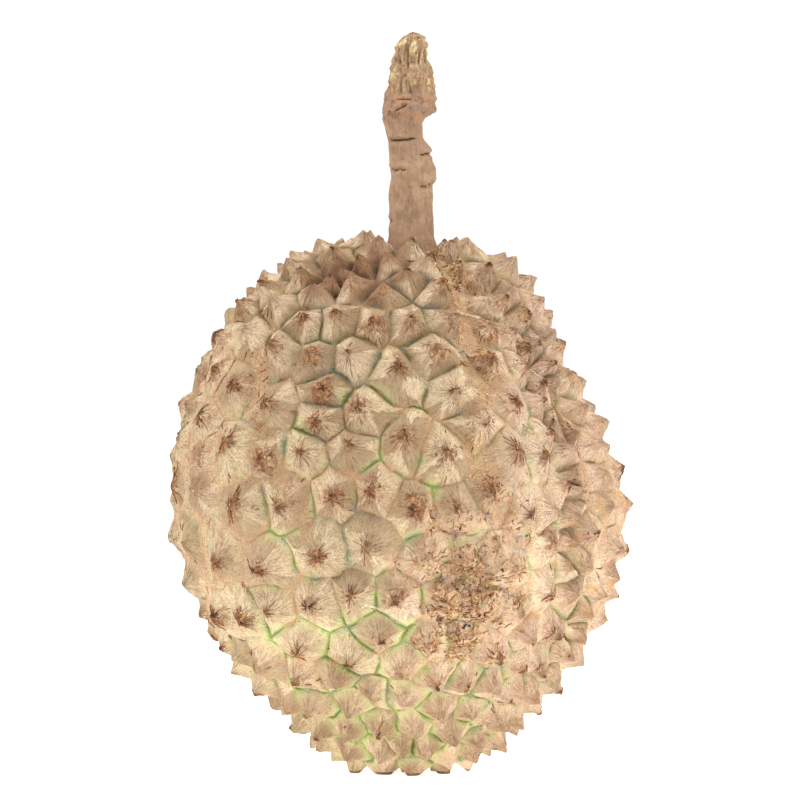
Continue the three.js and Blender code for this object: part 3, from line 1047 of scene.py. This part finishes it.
def scatter(sources, count, weights, sizes, tones, turn, tilt, sink, slim):
    """Copies of some sources on husk vertices, which are drawn by weight. None lies under the fruit."""
    weights = weights * (points[:, 2] > underside)
    copies = []
    for place_index in random.choices(range(len(points)), weights=weights, k=count):
        spin = Matrix.Rotation(random.uniform(-turn, turn), 4, "Z")
        lean = Matrix.Rotation(random.uniform(-tilt, tilt), 4, "Y")
        size = Matrix.Scale(random.uniform(*sizes), 4) @ Matrix.Diagonal((1, slim, slim, 1))
        lift = Matrix.Translation(Vector(skin_normals[place_index]) * -sink * MM)
        place_there = Matrix.Translation(Vector(points[place_index]) * MM)
        matrix = lift @ place_there @ facing_of(place_index) @ spin @ lean @ size
        copies.append(moved_copy(random.choice(sources), matrix))
    for member in copies:  # a random tone for its colour
        store(member, "chance", "FACE", [random.uniform(*tones)] * len(member.data.polygons))
    return copies


in_furrow = (from_furrow < 0.9) * (rough(points, 16, 83) > 0.05)
worn_here = (belt + cheeks) * (0.4 + cheeks + fade(points[:, 0], 0, 20))
at_tip = np.exp(-from_tip / 1.3) * worn_here * (points[:, 2] > lowest_worn)
chip_heaps = [
    # how many, where, sizes, tones, tilt, sink
    (1100, crust ** 2, (0.25, 1.1), (0.16, 0.95), 0.6, 0.05),
    (800, bands ** 2 + 0.002, (0.3, 0.9), (0.12, 0.58), 0.5, 0.05),
    (700, in_furrow, (0.3, 0.8), (0.2, 0.7), 0.3, 0.1),
    (1700, at_tip, (0.35, 1.2), (0, 0.6), 0.5, 0.05),
]
torn_flank = (rough(points, 5, 87) > 0.12) * (from_furrow > 1) * (belt + 0.1) * fade(points[:, 0], 60, 30)
fibre_heaps = [
    # how many, where, sizes, tones, turn, slimness
    (1100, crust ** 2 * np.exp(-from_tip / 3), (0.3, 0.9), (0.16, 0.95), 1.0, 0.6),
    (550, crust ** 2, (0.2, 0.6), (0.16, 0.95), 1.5, 0.7),
    (420, bands * np.exp(-from_tip / 2.5), (0.35, 0.9), (0, 0.95), 1.2, 1.0),
    (600, torn_flank, (0.3, 0.9), (0, 0.6), 0.6, 1.1),
]
chip_copies = []
for *heap, tilt, sink in chip_heaps:
    chip_copies += scatter(chips, *heap, turn=math.pi, tilt=tilt, sink=sink, slim=1)
fibre_copies = []
for *heap, turn, slim in fibre_heaps:
    fibre_copies += scatter([strand], *heap, turn=turn, tilt=0.1, sink=0, slim=slim)
for source in chips + [strand]:
    bpy.data.objects.remove(source)
print("scattered:", len(chip_copies), "chips,", len(fibre_copies), "fibres")

# %% Join the crust
crust_crest = 0.35

crust_fibre_piece = joined(fibre_copies, "crust_fibres")
lay_down(crust_fibre_piece, crust_crest)
dry_crust = joined(chip_copies + [crust_fibre_piece], "dry_crust")
report(dry_crust)

# %% Crust material
tree = new_material(dry_crust, "crust_flakes")
place = place_in_mm(tree)
chance = stored(tree, "chance")
mottle = grain(place, 1.3, 3, 0.6)
color = painted((196, 150, 108), (226, 192, 148), mottle.above(0.4, 0.6))
color.coat((122, 78, 52), chance.below(0.26, 0.38))
color.coat((190, 147, 92), chance.above(0.56, 0.6) * 0.95)
color.coat((236, 204, 156), chance.above(0.82, 0.86) * 0.8)
color.coat((96, 64, 46), grain(place, 2.6, 3, 0.6).below(0.36, 0.42) * 0.6)
rough_surface(color, mottle * 0.2 + 0.7, grain(place, 0.5, 2), 0.25)
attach(dry_crust, "root")

# %% [markdown]
# ## Stalk: bark, knuckle and frayed head
#
# The stalk is a woody twig in three parts: a smooth barked shaft with a few cracks across it, a knuckle
# where an old joint healed, and above it a head of bare, frayed fibre. The solid model has its rings at
# the right sizes, with eighteen flat sides. The copy is cut finer and made round, and then carved.

# %% Copy the stalk and measure its rings
stalk_cuts = 8

stalk = copy_of("stalk", "stalk_wood")
ring_points = points_of(stalk)
ring_heights = np.unique(ring_points[:, 2].round(1))
rings = [ring_points[np.abs(ring_points[:, 2] - height) < 0.1] for height in ring_heights]
ring_middles = np.array([ring.mean(axis=0) for ring in rings])
ring_radii = np.array([np.hypot(*(ring - ring.mean(axis=0)).T[:2]).max() for ring in rings])
print("rings at", ring_heights, "radii", ring_radii.round(1))

subdivide(stalk, stalk_cuts)
wood = points_of(stalk)
height = wood[:, 2]
pith = [np.interp(height, ring_heights, middle) for middle in ring_middles.T[:2]]
wood_middle = np.stack([*pith, height], axis=1)
outward = wood - wood_middle
from_pith = np.hypot(outward[:, 0], outward[:, 1])
outward /= np.maximum(from_pith, 0.01)[:, None]
round_stalk = np.degrees(np.arctan2(outward[:, 0], -outward[:, 1]))  # 0 at the front, 90 at the right
on_foot = height < ring_heights[0] + 0.01
report(stalk)

# %% [markdown]
# Bark cracks run part of the way round, where the twig once bent. The bark on the right has lifted into
# two plates, so the shaft is thicker just above each crack there.

# %% Carve the stalk
bark_cracks = [
    # height, middle round the stalk, half length round, depth, half width, slope along its length
    (227.4, -15, 75, 1.5, 0.75, 0.004),
    (222.6, 60, 34, 1.3, 0.45, 0.02),
    (217.0, -50, 42, 1.2, 0.65, 0),
    (211.8, 58, 40, 1.1, 0.4, 0.03),
    (198.8, -74, 26, 0.7, 0.4, 0.005),
    (242.2, -10, 30, 0.7, 0.4, 0.01),
    (239.4, -16, 17, 0.9, 0.6, 0.1),
    (205.5, 170, 50, 0.9, 0.5, 0),
    (221.0, 175, 34, 1.0, 0.5, 0.02),
    (232.0, 140, 40, 0.8, 0.5, 0),
]
knuckle_height = 236
head_height = 244
head_fray = 0.55
bark_lumps = 0.8
bark_fibre = 0.45

in_head = fade(height, head_height - 3, head_height + 4)
up_stalk = height[:, None] * (0, 0, 1)
fray_place = outward * 4.2 + up_stalk / 16
fray_place += np.stack([rough(wood, 7, 61), rough(wood, 7, 67), 0 * height], axis=1) * 0.8
ridge = 0.5 - 2.2 * np.abs(rough(fray_place, 0.75, 71))
fibre = rough(outward * 4 + up_stalk / 9, 0.5, 73)

radius = np.interp(height, ring_heights, ring_radii)
radius[height > ring_heights[-2]] = from_pith[height > ring_heights[-2]]
radius += bark_lumps * rough(wood, 6, 75) * (0.7 + 1.4 * in_head) + bark_fibre * fibre * (1 + in_head)
radius += 0.5 * rough(wood, 2.6, 78) * in_head
radius += head_fray * ridge * in_head * fade(height, ring_heights[-1] + 1, ring_heights[-1] - 6)
radius += 0.7 * rough(wood, 1.6, 77) * fade(height, knuckle_height - 4, knuckle_height + 3)
radius += 0.8 * fade(np.abs(round_stalk - 80), 60, 30) * fade(np.abs(height - 217), 5.2, 4.4)
radius += 0.7 * fade(np.abs(round_stalk - 75), 55, 25) * fade(np.abs(height - 225.4), 3.4, 1.6)

cracked = np.zeros(len(wood))
for crack_height, middle, half_length, depth, half_width, slope in bark_cracks:
    away = (round_stalk - middle + 180) % 360 - 180
    wander = height - crack_height - slope * away - 0.6 * rough(wood * (1, 1, 0), 4, crack_height)
    wander += 0.3 * np.cos(np.radians(away * 2))
    length_fade = fade(np.abs(away) + 16 * rough(wood, 4, 79), half_length, half_length * 0.6)
    cracked = np.maximum(cracked, fade(np.abs(wander), half_width, half_width * 0.3) * length_fade)
    radius -= depth * fade(np.abs(wander), half_width, 0) * length_fade
    radius += 0.35 * depth * fade(np.abs(wander - 1.3), 1.2, 0) * length_fade

shaped = wood_middle + outward * np.maximum(radius, 0)[:, None]
shaped = np.where(on_foot[:, None] | (from_pith < 0.02)[:, None], wood, shaped)
move_points(stalk, shaped)
# stores the cracks, the head's ridges, which carry its painted highlight and shade, and the head itself
store(stalk, "wear", "POINT", np.stack([cracked, in_head * (ridge + 0.2), in_head], axis=1))
smooth(stalk, 50)
print("stalk carved, top at", shaped[:, 2].max().round(1))

# %% [markdown]
# The bark is a matt pinkish brown with fine upright fibres. Cracks are dark, the knuckle is redder, and
# the head is straw-coloured fibre, with a painted highlight on its ridges and painted shade between them.

# %% Stalk material
tree = new_material(stalk, "stalk_bark")
place = place_in_mm(tree)
upright = place.node("ShaderNodeVectorMath", {"operation": "MULTIPLY"}, {0: place, 1: (1, 1, 0.16)})
height_here = parts(place)[2]
crack_here, ridge_here, head_here = parts(stored(tree, "wear", "Vector"))

fibres = grain(upright, 0.8, 3, 0.65)
blotches = grain(place, 5, 4, 0.6)
fine = grain(place, 0.8, 2, 0.6)
knuckle = (height_here - 240).math("ABSOLUTE").below(3, 8)
# the head's straw: lighter on its ridges and darker between them, as painted highlight and shade
straw = painted((146, 117, 84), (176, 145, 108), ridge_here.above(-0.5, 0.5))
straw.coats(
    (118, 90, 68, fibres.above(0.5, 0.62) * 0.5),
    (156, 140, 118, grain(place, 3.2, 3).below(0.4, 0.47) * 0.4),
    # painted highlight on the head's ridges, then painted shade between them
    (218, 198, 148, ridge_here.above(0.0, 0.4) * grain(place, 4, 3).above(0.54, 0.6) * 0.85),
    (118, 88, 60, ridge_here.below(-0.7, -0.1) * 0.4),
    (120, 86, 60, grain(place, 1.6, 3, 0.7).above(0.54, 0.62) * 0.6),
)
color = painted((148, 118, 92), (168, 138, 108), blotches.above(0.4, 0.6))
color.coats(
    (130, 98, 74, fibres.above(0.5, 0.66) * 0.3),
    (194, 166, 136, fibres.below(0.34, 0.45) * 0.25),
    (156, 122, 102, grain(place, 9, 3).above(0.5, 0.6) * 0.4),
    (122, 90, 66, height_here.below(186, 198) * blotches.above(0.36, 0.56) * 0.7),
    (118, 84, 62, fine.above(0.56, 0.66) * 0.3),
    (164, 116, 86, knuckle * blotches.above(0.42, 0.56) * 0.6),
    (128, 112, 106, knuckle * grain(place, 4, 3).above(0.52, 0.6) * 0.5),
    (106, 74, 54, knuckle * grain(place, 2.2, 3).above(0.56, 0.62) * 0.6),
)
color.coat(straw, head_here * blotches.above(0.3, 0.5))
color.coats(
    (112, 78, 58, grain(place, 1.1, 1).above(0.67, 0.74) * 0.5),
    (92, 64, 46, crack_here.above(0.3, 1.0) * (fine.above(0.4, 0.52) * 0.5 + 0.4)),
    (150, 90, 60, crack_here.above(0.2, 0.8) * knuckle * 0.7),
)
relief = fibres * (head_here * 0.8 + 0.5) + fine * (head_here * 0.6 + 0.4)
rough_surface(color, blotches * 0.2 + 0.72, relief, 0.4)
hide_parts("stalk")
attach(stalk, "root")
